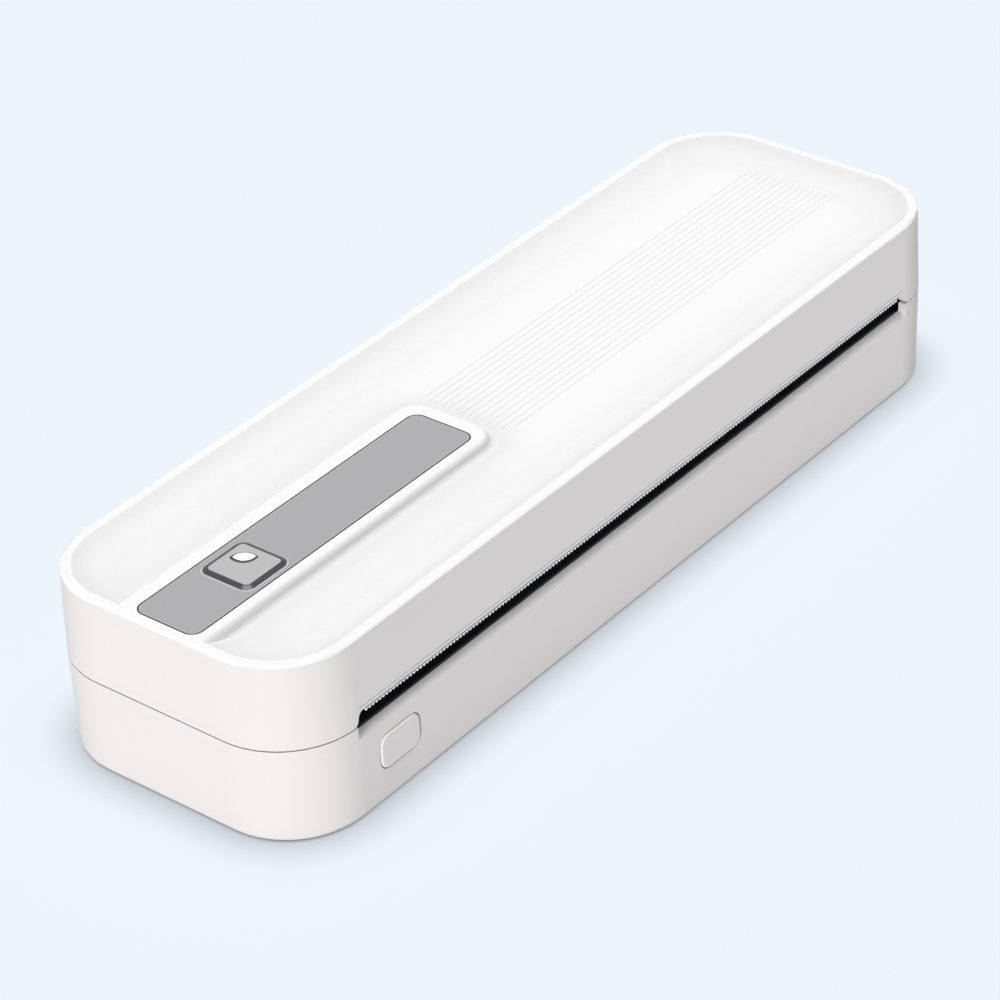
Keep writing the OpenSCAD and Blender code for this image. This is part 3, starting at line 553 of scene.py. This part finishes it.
class PRINTER_OT_controls(bpy.types.Operator):
    """Finishes the grey panel, the power button and its light"""
    bl_idname = "printer.controls"
    bl_label = "Controls"

    def execute(self, context):
        controls = context.scene.printer_controls
        dress(panel_film(controls), "panel_plate")
        dress(bezel_lacquer(controls), "button_bezel")
        dress(cap_paint(controls), "power_button")
        dress(light_window(controls), "power_light")
        return {"FINISHED"}


class PRINTER_OT_panel_trim(bpy.types.Operator):
    """Makes painted shade and a painted highlight round the panel, a painted highlight round the
    bezel's foot and the window's dark rim with painted shade
    """
    bl_idname = "printer.panel_trim"
    bl_label = "Panel trim"

    def execute(self, context):
        controls = context.scene.printer_controls
        # Painted shade: a thin, dark and matt ring that stands for the shade in the gap round the
        # panel
        gap_shade_finish = silicone("painted_gap_shade", "232226")
        # A painted highlight along the panel's edge: a paler, slightly glossier line
        edge_highlight = grained("painted_edge_highlight", "C8C8CA", 0.4 * MM, 0.36, 0.004 * MM)
        # A painted highlight round the bezel's foot, where the panel's cut edge catches light: pale
        # and glossy
        foot_highlight = grained("painted_bezel_highlight", "C4C2C6", 0.5 * MM, 0.2, 0.004 * MM)
        middle, size = extent("panel_plate")
        top = middle.z + size.z / 2
        outline = rounded_outline(middle, size, PANEL_RADIUS)
        # The painted shade fills the gap round the panel and laps over the panel's edge
        out = 0.11
        inner = out - controls.gasket / MM
        trim_ring("panel_gap_shade", "cover", gap_shade_finish, outline, [
            (out, top - 0.5), (out, top), (out - 0.05, top + 0.03), (inner + 0.02, top + 0.03),
            (inner, top + 0.005), (0.01, top + 0.005), (0.01, top - 0.5)])
        trim_ring("panel_edge_highlight", "cover", edge_highlight, outline, [
            (inner - 0.01, top - 0.02), (inner - 0.04, top + 0.03), (inner - 0.2, top + 0.03),
            (inner - 0.26, top - 0.02)])
        button, bezel = extent("button_bezel")
        # The painted highlight is wider on the near side
        lean = (-0.25, -0.2)
        around = rounded_outline(button, bezel, BEZEL_RADIUS)
        trim_ring("bezel_foot_highlight", "cover", foot_highlight, around, [
            (-0.2, top - 0.02, *lean), (-0.1, top + 0.05, *lean), (0.28, top + 0.04, *lean),
            (0.4, top - 0.02, *lean)])
        cap_top = top + 0.5

        def thumb_dish(x, y):
            away = math.hypot(x - button.x, y - button.y)
            sunk = THUMB_RADIUS - math.sqrt(THUMB_RADIUS ** 2 - away ** 2) - THUMB_DEPTH
            # The rim stays under the cap's top
            return min(sunk, -0.04)

        window = leaf_outline((button.x + 2.1, button.y + 2.1), 6.6, 3.8, -52)
        # A dark rim round the window, wider on the near side, where it slopes down to the window;
        # its extra width there is painted shadow
        lean = (0.33, 0.15)
        trim_ring("window_rim_and_shade", "power_cap", bezel_lacquer(controls), window, [
            (0.03, cap_top - 0.1), (0.03, cap_top + 0.02), (-0.05, cap_top + 0.04),
            (-0.5, cap_top + 0.03, *lean), (-0.58, cap_top - 0.1, *lean)], thumb_dish)
        return {"FINISHED"}


class PRINTER_OT_paper_path(bpy.types.Operator):
    """Finishes the deck, the guides, the roller and the tear bar"""
    bl_idname = "printer.paper_path"
    bl_label = "Paper path"

    def execute(self, context):
        shell = context.scene.printer_shell
        dress(black_abs(shell), "paper_deck", "front_guide", "cover_liner", "latch_bar",
              "paper_sensor")
        dress(silicone("ground_silicone_roller", "2A2A2C"), "platen_rubber")
        # Stamped stainless strip, cut teeth bright
        dress(brushed("stamped_stainless_strip", "F2F3F4", 0, 0.2 * MM, 0.42), "tear_bar")
        return {"FINISHED"}


class PRINTER_OT_slot_trim(bpy.types.Operator):
    """Makes a dark strip of painted shadow over the tear bar and a grey line of painted shade above
    it
    """
    bl_idname = "printer.slot_trim"
    bl_label = "Slot trim"

    def execute(self, context):
        middle, size = extent("tear_bar")
        front, half = middle.y - size.y / 2, size.x / 2
        under, face = NOTCH_Z - 0.29, front - 0.46
        # Painted shadow: a dark strip under the cover's edge, over the top of the tear bar
        strip("slot_shadow_strip", "cover", silicone("painted_slot_shadow", "17171A"),
              -half, half, [(face, under + 0.04), (face + 0.04, under), (front + 0.02, under),
                            (front + 0.02, NOTCH_Z), (face, NOTCH_Z)])
        # Painted shade: a grey line on the white that stands for the shade of a fine groove in the
        # wall
        groove_shade = grained("painted_groove_shade", "8F8C8B", 0.5 * MM, 0.6, 0.01 * MM)
        low, high = 30.34, 30.46
        strip("front_line", "cover", groove_shade, -110, 110, [
            (FRONT_Y, low), (FRONT_Y + 0.003, high), (FRONT_Y + 0.09, high), (FRONT_Y + 0.09, low)])
        return {"FINISHED"}


class PRINTER_OT_liner_marks(bpy.types.Operator):
    """Sets cross heads on the liner's screws and raises the rings that ejector pins leave"""
    bl_idname = "printer.liner_marks"
    bl_label = "Liner marks"

    def execute(self, context):
        middle, size = extent("cover_screws")
        under = middle.z - size.z / 2
        # Where the liner's screws are: two at each end and three along the back and the front
        places = [(x, y, under) for x in (-124.5, 124.5) for y in (-12, 12)]
        places += [(x, y, under) for y in (30, -33.2) for x in (-58, 0, 58)]
        # Zinc-plated steel with a bluish tinge, stamped crosses
        zinc = brushed("zinc_plated_heads", "A6A9B0", 2, 0.2 * MM, 0.34)
        recess = context.scene.printer_head.recess
        repeated("screw_crosses", "cover", zinc, places, cross_head_shape, {
            "Radius": 1.85 * MM, "Crown": 1.5 * MM, "Height": 0.3 * MM, "Recess": recess,
            "Slot": 0.5 * MM}, turn=(math.pi, 0.0, 0.0))
        rings = [(x, y, under + 0.02) for x in range(-75, 76, 30) for y in (9, 24)]
        repeated("ejector_rings", "cover",
                 black_abs(context.scene.printer_shell), rings, bead_shape,
                 {"Radius": 2.2 * MM, "Bead": 0.1 * MM})
        return {"FINISHED"}


class PRINTER_OT_drive(bpy.types.Operator):
    """Finishes the gear train, the motor and their brackets"""
    bl_idname = "printer.drive"
    bl_label = "Drive"

    def execute(self, context):
        # Natural acetal: warm off-white, waxy
        acetal = grained("natural_acetal", "E4DFCF", 1.5 * MM, 0.34, 0.004 * MM, IOR=1.48)
        dress(acetal, "platen_gear", "compound_gear", "platen_bushes")
        dress(brushed("turned_brass", "C9A04A", 0, 0.15 * MM, 0.25), "motor_pinion")
        dress(brushed("zinc_plated_sheet", "B9BCC2", 1, 0.5 * MM, 0.34), "gear_bracket",
              "left_bracket", "stepper_motor")
        dress(brushed("ground_steel", "C4C6CA", 0, 0.1 * MM, 0.2), "platen_shaft", "motor_shaft",
              "gear_stud", "hinge_pins", "head_pivot_rod")
        wire = brushed("drawn_spring_wire", "A9ABB0", 2, 0.1 * MM, 0.3)
        # The head's springs lose 1.1 of their 10 mm as the head tips up, the button's 2 of its 4.6
        springy("head_spring_coils", "head_springs", "cover", wire)
        springy("release_spring_coil", "release_spring", "base", wire)
        return {"FINISHED"}


class PRINTER_OT_electronics(bpy.types.Operator):
    """Finishes the boards, the cells, the connector and the flat cable"""
    bl_idname = "printer.electronics"
    bl_label = "Electronics"

    def execute(self, context):
        # Glass-fibre board under solder resist: deep green, satin
        resist = grained("solder_resist_green", "1E5A38", 0.8 * MM, 0.32, 0.006 * MM, IOR=1.5)
        dress(resist, "main_board", "button_board", "head_board")
        dress(grained("shrink_sleeve_blue", "2F66A6", 1.2 * MM, 0.22, 0.004 * MM), "battery_cells")
        dress(brushed("plated_connector_shell", "BFC2C7", 0, 0.2 * MM, 0.25), "usb_port")
        dress(brushed("zinc_plated_screws", "AEB1B6", 2, 0.2 * MM, 0.3), "base_screws",
              "cover_screws")
        # Laminated polyester: pale and glossy, with its flat conductors showing as stripes
        film = striped("laminated_flat_cable", "DDD9CD", "B9B6B0", 0.8 * MM, 0.3)
        route = [(13, 8.6), (26, 8.6), *arc((26, 15.6), 7, -75, 0, 10),
                 *arc((25, 26), 8, 0, 85, 12), (-6, 35.5)]
        cable = ribbon("flat_cable", film, -121.2, -113.6, route, 0.3)
        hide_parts("head_cable")
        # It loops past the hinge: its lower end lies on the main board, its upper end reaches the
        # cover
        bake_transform(cable)
        return {"FINISHED"}


class PRINTER_OT_board_parts(bpy.types.Operator):
    """Sets the chips' pins and the rows of small parts on the main board"""
    bl_idname = "printer.board_parts"
    bl_label = "Board parts"

    def execute(self, context):
        pin = context.scene.printer_head.pin
        # Each chip's left and front edge, length and depth, as the source has them
        chips = ((-70, 14, 12, 12), (-40, 18, 7, 7), (-10, 13, 22, 9), (50, 20, 16, 5))
        pin_z = BOARD_TOP + 0.12
        fore_and_aft, beside = [], []
        for x, y, length, depth in chips:
            count = int((length - 1) / PIN_PITCH)
            start = x + (length - (count - 1) * PIN_PITCH) / 2
            fore_and_aft += [(start + PIN_PITCH * i, edge, pin_z)
                             for i in range(count) for edge in (y - 0.3, y + depth + 0.3)]
            # A square chip has pins on all four sides
            if length == depth:
                start = y + (depth - (count - 1) * PIN_PITCH) / 2
                beside += [(edge, start + PIN_PITCH * i, pin_z)
                           for i in range(count) for edge in (x - 0.3, x + length + 0.3)]
        # Tinned copper: bright, slightly warm
        tinned = brushed("tinned_copper_pins", "C8C6C0", 1, 0.1 * MM, 0.25)
        repeated("chip_pins", "base", tinned, fore_and_aft, block_shape,
                 {"Length": pin, "Width": 0.8 * MM, "Height": 0.22 * MM})
        repeated("chip_side_pins", "base", tinned, beside, block_shape,
                 {"Length": 0.8 * MM, "Width": pin, "Height": 0.22 * MM})
        # Fired ceramic chips: matt grey brown
        fired = grained("fired_ceramic_chips", "8A7460", 0.3 * MM, 0.55, 0.01 * MM)
        chip_z = BOARD_TOP + 0.26
        rows = [(-104 + 6.4 * i, 29.4, chip_z) for i in range(34)]
        rows += [(-100 + 9.1 * i, 12.35, chip_z) for i in range(23)]
        repeated("small_chips", "base", fired, rows, block_shape,
                 {"Length": 1.6 * MM, "Width": 0.8 * MM, "Height": 0.52 * MM})
        return {"FINISHED"}


class PRINTER_OT_print_head(bpy.types.Operator):
    """Finishes the print head's bar and its heater strip"""
    bl_idname = "printer.print_head"
    bl_label = "Print head"

    def execute(self, context):
        dress(brushed("extruded_aluminium", "CDD0D4", 0, 0.3 * MM, 0.32), "head_heatsink")
        dress(grained("glazed_alumina", "E6E2D6", 0.6 * MM, 0.16, 0.003 * MM, IOR=1.6),
              "head_ceramic")
        middle, size = extent("head_ceramic")
        low, half = middle.z - size.z / 2, size.x / 2 - 2
        wide = context.scene.printer_head.glaze / MM / 2
        # Fired glass glaze: brown, with a hard clear gloss
        glaze = grained("fired_glaze_brown", "5A3620", 0.5 * MM, 0.08, 0.001 * MM, spread=0.02)
        strip("heater_line", "print_head", glaze, -half, half, [
            (HEATER_Y - wide, low + 0.02), (HEATER_Y - wide * 0.6, low - 0.05),
            (HEATER_Y + wide * 0.6, low - 0.05), (HEATER_Y + wide, low + 0.02)])
        # Cast epoxy over the driver chips: black, glossy and slightly uneven
        epoxy = grained("cast_epoxy_black", "141416", 6 * MM, 0.14, 0.15 * MM, spread=0.04)
        strip("driver_bead", "print_head", epoxy, 4 - half, half - 4, [
            (-19.5, low + 0.02), (-19.1, low - 0.35), (-18.3, low - 0.52), (-17.3, low - 0.52),
            (-16.6, low - 0.32), (-16.2, low + 0.02)])
        return {"FINISHED"}


def photo_camera(stage):
    """The camera that sees the printer as the photograph does."""
    a, e, r = stage.azimuth, stage.elevation, stage.roll
    back = Vector((math.sin(a) * math.cos(e), -math.cos(a) * math.cos(e), math.sin(e)))
    level = Vector((math.cos(a), math.sin(a), 0))
    upright = back.cross(level)
    right = math.cos(r) * level + math.sin(r) * upright
    up = math.cos(r) * upright - math.sin(r) * level
    place = back * stage.distance + right * stage.aside[0] + up * stage.aside[1]
    data = bpy.data.cameras.new("photo_camera")
    data.sensor_width = 36
    data.lens = stage.lens
    data.clip_start = 0.01
    made = placed("photo_camera", data)
    turn = Matrix((right, up, back)).transposed().to_4x4()
    made.matrix_world = Matrix.Translation(place) @ turn
    bpy.context.scene.camera = made


def on_show(tree):
    """1 for the rays that see a surface directly, in a mirror or through a clear one, and 0 for
    the others."""
    path = add(tree, "ShaderNodeLightPath")
    seen = add(tree, "ShaderNodeMath", {
        0: path.outputs["Is Camera Ray"], 1: path.outputs["Is Glossy Ray"]}, operation="MAXIMUM")
    shown = add(tree, "ShaderNodeMath", {
        0: seen.outputs[0], 1: path.outputs["Is Transmission Ray"]}, operation="MAXIMUM")
    return shown.outputs[0]


def studio_world(stage):
    """Even light from all round, seen as the pale backdrop."""
    world = bpy.data.worlds.new("studio")
    bpy.context.scene.world = world
    world.use_nodes = True
    tree = world.node_tree
    tree.nodes.clear()
    even = add(tree, "ShaderNodeBackground", {"Color": linear("FFFFFF"), "Strength": stage.ambient})
    backdrop = add(tree, "ShaderNodeBackground", {"Color": linear(stage.floor), "Strength": 1.0})
    both = add(tree, "ShaderNodeMixShader", {
        0: on_show(tree), 1: even.outputs[0], 2: backdrop.outputs[0]})
    add(tree, "ShaderNodeOutputWorld", {"Surface": both.outputs[0]})


def painted_floor(stage):
    """Seen: the backdrop's pale colour, most of it a glow that only a close piece takes away, so
    that shadows are tight and light. To other rays it is a neutral grey."""
    made, tree = new_material("painted_floor")
    pale = linear(stage.floor)
    near = add(tree, "ShaderNodeAmbientOcclusion", {"Distance": 11 * MM}, samples=16)
    contact = add(tree, "ShaderNodeMath", {0: near.outputs["AO"], 1: 0.6}, operation="POWER")
    open_glow = add(tree, "ShaderNodeMath", {
        0: contact.outputs[0], 1: stage.glow}, operation="MULTIPLY")
    glow = add(tree, "ShaderNodeEmission", {"Color": pale, "Strength": open_glow.outputs[0]})
    paint = add(tree, "ShaderNodeBsdfDiffuse", {
        "Color": tuple(v * (1 - stage.glow) / stage.level for v in pale[:3]) + (1.0,)})
    seen = add(tree, "ShaderNodeAddShader", {0: glow.outputs[0], 1: paint.outputs[0]})
    plain = add(tree, "ShaderNodeBsdfDiffuse", {"Color": (stage.bounce,) * 3 + (1.0,)})
    above = add(tree, "ShaderNodeMixShader", {
        0: on_show(tree), 1: plain.outputs[0], 2: seen.outputs[0]})
    # From below it is clear, so that the printer's underside can be looked at
    below = add(tree, "ShaderNodeBsdfTransparent")
    side = add(tree, "ShaderNodeNewGeometry")
    close(tree, add(tree, "ShaderNodeMixShader", {
        0: side.outputs["Backfacing"], 1: above.outputs[0], 2: below.outputs[0]}))
    return made


def sun(name, strength, spread, direction, colour):
    """A distant lamp whose light comes from a direction."""
    lamp = bpy.data.lights.new(name, "SUN")
    lamp.energy = strength
    lamp.angle = math.radians(spread)
    lamp.color = linear(colour)[:3]
    made = placed(name, lamp)
    made.matrix_world = Vector(direction).to_track_quat("Z", "Y").to_matrix().to_4x4()


class PRINTER_OT_stage(bpy.types.Operator):
    """Makes the pale floor, the soft lights and the camera"""
    bl_idname = "printer.stage"
    bl_label = "Stage"

    def execute(self, context):
        stage = context.scene.printer_stage
        side = 4.0
        mesh = bpy.data.meshes.new("floor")
        corners = [(-side, -side, 0), (side, -side, 0), (side, side, 0), (-side, side, 0)]
        mesh.from_pydata(corners, [], [(0, 1, 2, 3)])
        floor = placed("floor", mesh)
        mesh.materials.append(painted_floor(stage))
        sun("key", stage.key, 50, (0, 0, 1), "FFFFFF")
        # These come from just under the floor, which lets them by, so that the rim keeps them out
        # of the dish
        floor.visible_shadow = False
        sun("fill", stage.fill, 2, (-0.961, -0.276, -0.028), "FFF8F7")
        sun("front", stage.front, 2, (0.3, -0.954, -0.028), "FFFFFF")
        sun("back", stage.back, 2, (0.7, 0.71, -0.028), "FFFFFF")
        studio_world(stage)
        photo_camera(stage)
        context.scene.view_settings.view_transform = "Standard"
        return {"FINISHED"}


class PRINTER_PT_panel(bpy.types.Panel):
    """Lists what makes the printer"""
    bl_idname = "PRINTER_PT_panel"
    bl_label = "Thermal printer"
    bl_space_type = "VIEW_3D"
    bl_region_type = "UI"
    bl_category = "Printer"

    def draw(self, context):
        for group in SETTINGS:
            settings = getattr(context.scene, group)
            box = self.layout.box()
            for name in settings.__annotations__:
                box.prop(settings, name)
        for operator in OPERATORS:
            self.layout.operator(operator.bl_idname)


SETTINGS = {
    "printer_shell": ShellSettings, "printer_controls": ControlSettings,
    "printer_head": HeadSettings, "printer_stage": StageSettings}
OPERATORS = (
    PRINTER_OT_shell, PRINTER_OT_controls, PRINTER_OT_panel_trim, PRINTER_OT_paper_path,
    PRINTER_OT_slot_trim, PRINTER_OT_liner_marks, PRINTER_OT_drive, PRINTER_OT_electronics,
    PRINTER_OT_board_parts, PRINTER_OT_print_head, PRINTER_OT_stage)


def register():
    for group in SETTINGS.values():
        bpy.utils.register_class(group)
    for name, group in SETTINGS.items():
        setattr(bpy.types.Scene, name, PointerProperty(type=group))
    for operator in (*OPERATORS, PRINTER_PT_panel):
        bpy.utils.register_class(operator)


def unregister():
    for operator in reversed((*OPERATORS, PRINTER_PT_panel)):
        bpy.utils.unregister_class(operator)
    for name, group in SETTINGS.items():
        delattr(bpy.types.Scene, name)
        bpy.utils.unregister_class(group)


def main():
    register()
    for operator in OPERATORS:
        group, name = operator.bl_idname.split(".")
        getattr(getattr(bpy.ops, group), name)()


if __name__ == "__main__":
    main()
